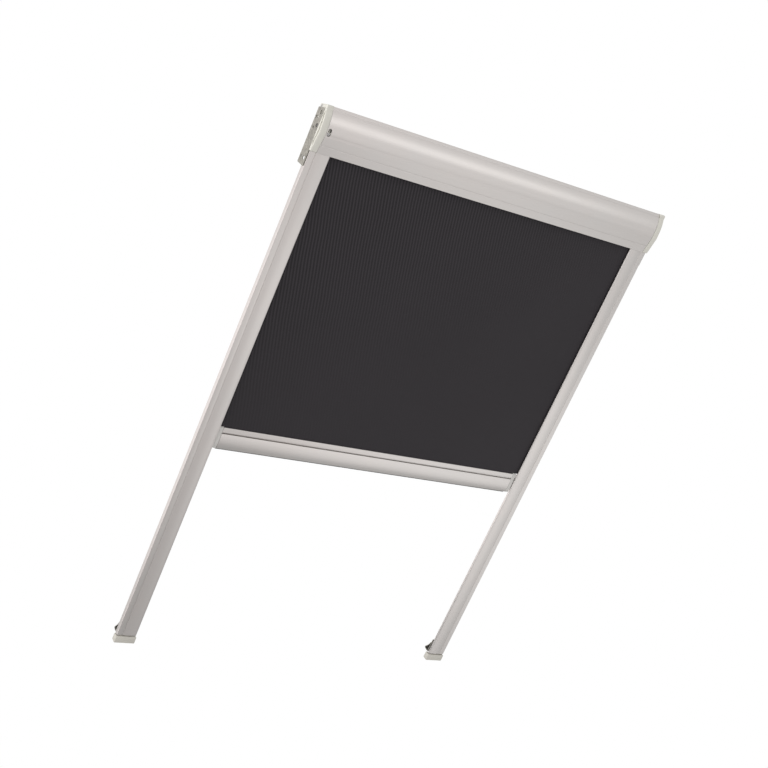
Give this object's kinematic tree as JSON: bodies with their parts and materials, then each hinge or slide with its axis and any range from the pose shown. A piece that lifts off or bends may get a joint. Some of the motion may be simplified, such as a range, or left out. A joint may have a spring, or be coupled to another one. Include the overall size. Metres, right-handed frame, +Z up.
{
  "type": "skylight window blind",
  "caption": "Blackout roller blind for a roof window: bowed cassette, two side rails and a bottom bar that slides in them and draws the fabric off a sprung roller.",
  "frame": {"origin": "middle of the cassette's lower edge, in the plane of the rails' front face, level with the head brackets that the blind hangs on", "axes": "+X to the right seen from the room, +Y out towards the glass, +Z up to the head of the window along the rails"},
  "size_m": [0.6188, 0.0275, 0.8674],
  "materials": {
    "aluminium": "satin anodised",
    "roller_aluminium": "mill",
    "cap_plastic": "moulded, light grey beige",
    "foot_plastic": "moulded, warm grey",
    "galvanised": "galvanised sheet",
    "screw_steel": "zinc plated",
    "shaft_steel": "drawn steel",
    "spring_steel": "oil tempered wire",
    "fabric": "coated blackout weave, charcoal",
    "pile": "woven pile",
    "seal_rubber": "matt",
    "shoe_plastic": "moulded, black",
    "roller_plastic": "moulded, natural"
  },
  "bodies": {
    "frame": {"cassette_profile": "aluminium", "cassette_light_seal": "pile", "cassette_end_cap_left": "cap_plastic", "cassette_end_cap_right": "cap_plastic", "end_cap_screw_left_top": "screw_steel", "end_cap_screw_left_bottom": "screw_steel", "end_cap_screw_right_top": "screw_steel", "end_cap_screw_right_bottom": "screw_steel", "cover_screw": "screw_steel", "head_bracket_left": "galvanised", "head_bracket_right": "galvanised", "spring_shaft": "shaft_steel", "spring_anchor": "roller_plastic", "torsion_spring": "spring_steel", "idle_pin": "shaft_steel", "side_rail_left": "aluminium", "side_rail_right": "aluminium", "rail_light_seal_left": "pile", "rail_light_seal_right": "pile", "rail_foot_cap_left": "foot_plastic", "rail_foot_cap_right": "foot_plastic", "foot_clip_left": "galvanised", "foot_clip_right": "galvanised", "foot_clip_rivet_left": "screw_steel", "foot_clip_rivet_right": "screw_steel", "blackout_fabric": "fabric"},
    "roller": {"roller_tube": "roller_aluminium", "fabric_roll": "fabric", "roller_plug_left": "roller_plastic", "roller_plug_right": "roller_plastic", "spring_drive_plug": "roller_plastic"},
    "bar": {"bottom_bar": "aluminium", "keder_rod": "roller_plastic", "bar_seal": "seal_rubber", "bar_end_cap_left": "cap_plastic", "bar_end_cap_right": "cap_plastic", "guide_shoe_left": "shoe_plastic", "guide_shoe_right": "shoe_plastic", "brake_spring_left": "spring_steel", "brake_spring_right": "spring_steel"}
  },
  "joints": [
    {"name": "bar_slide", "type": "slide", "parent": "frame", "child": "bar", "axis": [0, 0, 1], "range_m": [-0.3345, 0.419], "deforming": ["blackout_fabric"]},
    {"name": "roller_turn", "type": "hinge", "parent": "frame", "child": "roller", "pos_m": [0, 0.0061, 0.033], "axis": [1, 0, 0], "range_deg": [-2025, 2530]}
  ],
  "couplings": [
    {"joint": "roller_turn", "follows": "bar_slide", "rad_per_m": 105}
  ]
}
